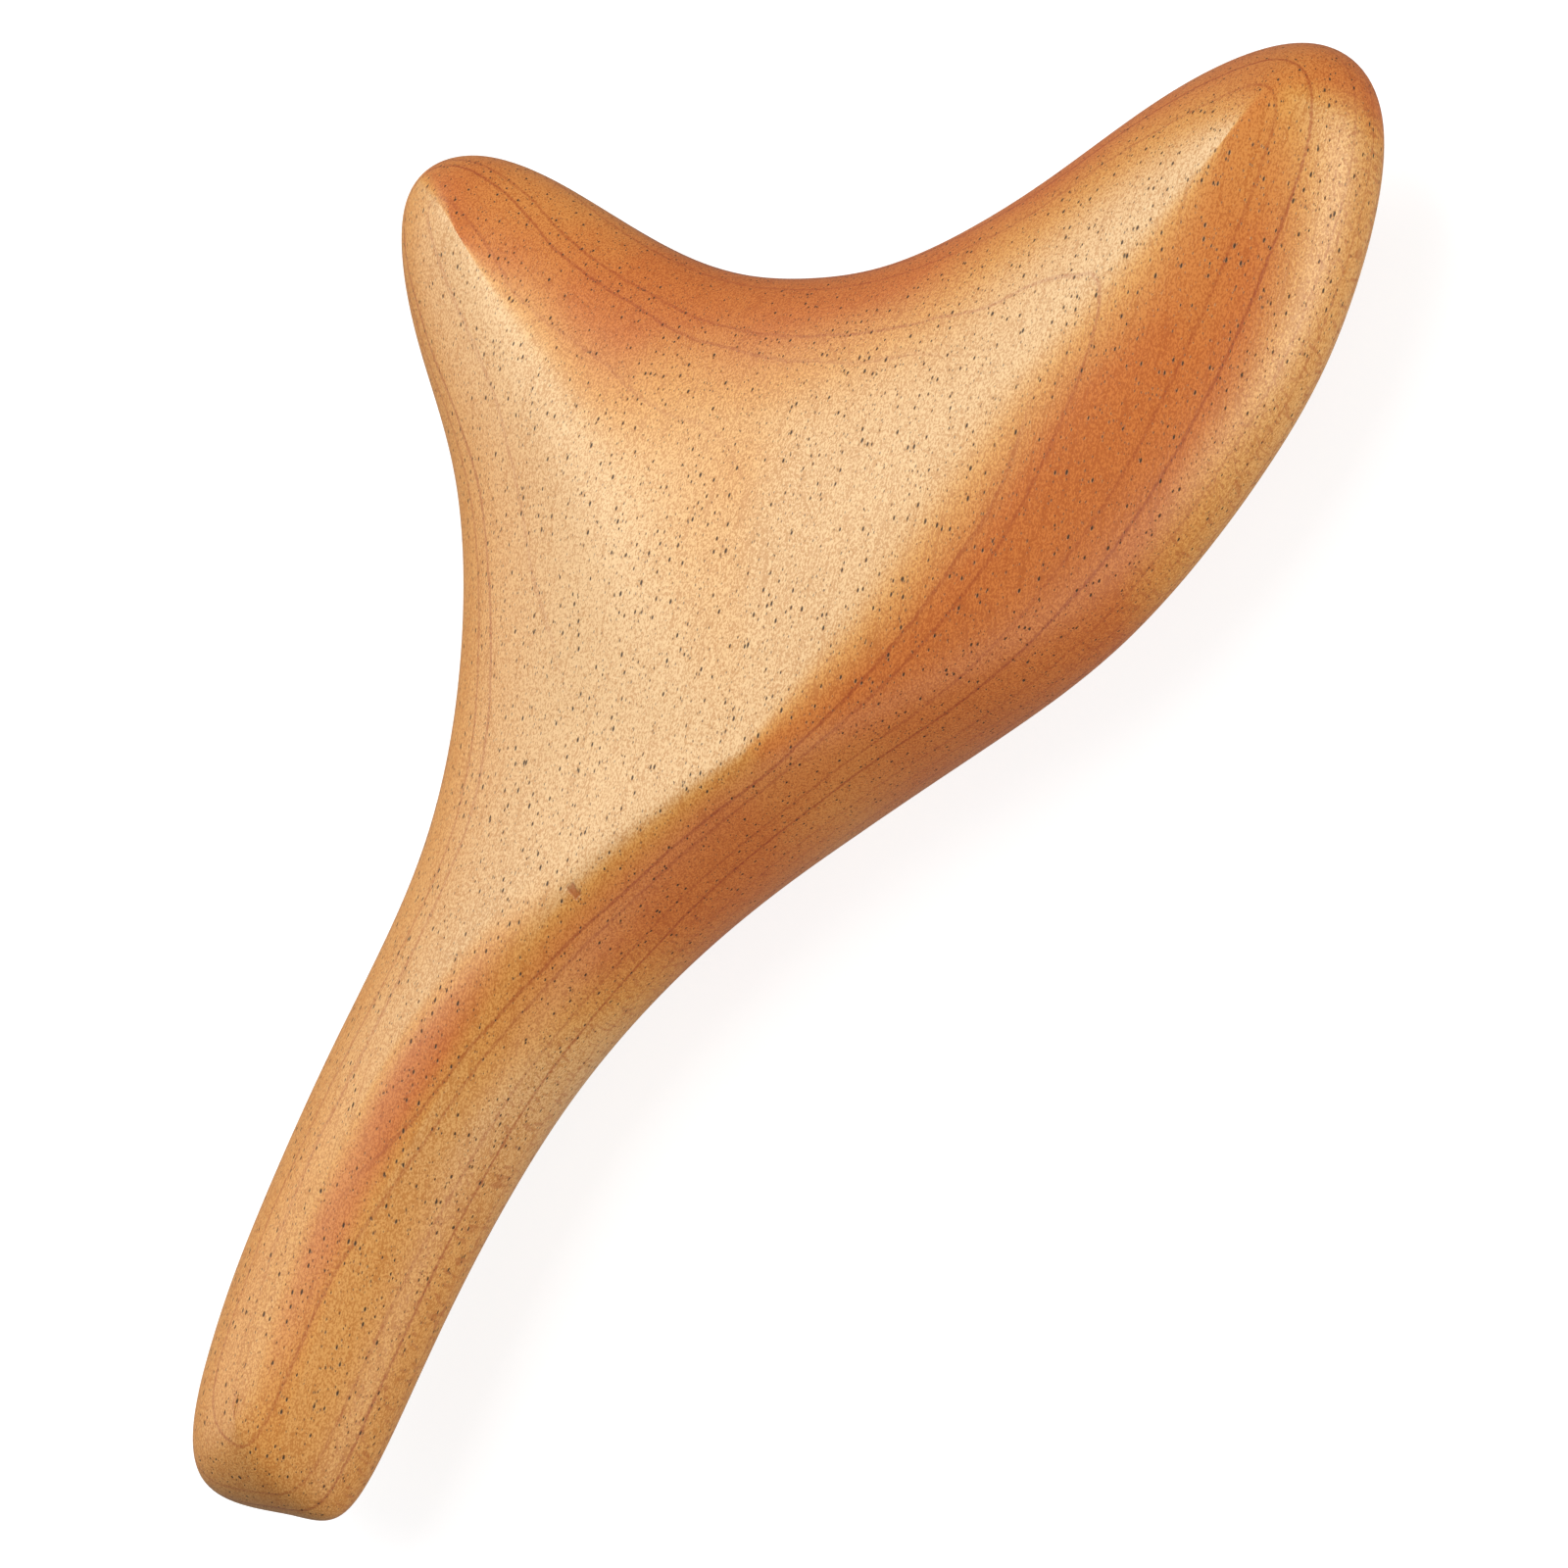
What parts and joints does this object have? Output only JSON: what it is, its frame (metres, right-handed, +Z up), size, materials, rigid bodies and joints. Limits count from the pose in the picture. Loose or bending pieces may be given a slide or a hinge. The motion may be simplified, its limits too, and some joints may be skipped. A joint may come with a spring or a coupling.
{
  "type": "wooden massage tool",
  "caption": "Hand-held massage tool carved from one block of hardwood, with a tapered grip, a blunt horn and a broad rounded blade that meet at a crowned body.",
  "frame": {"origin": "middle of the bounding box in X and Y, on the surface that the tool lies on", "axes": "+X from the butt of the grip to the nose of the blade, +Y to the side of the horn, +Z up through the thickness"},
  "size_m": [0.207, 0.11, 0.032],
  "materials": {
    "satin_hardwood": "satin, oiled and lightly polished"
  },
  "bodies": {
    "root": {"carved_wood_body": "satin_hardwood"}
  },
  "joints": []
}
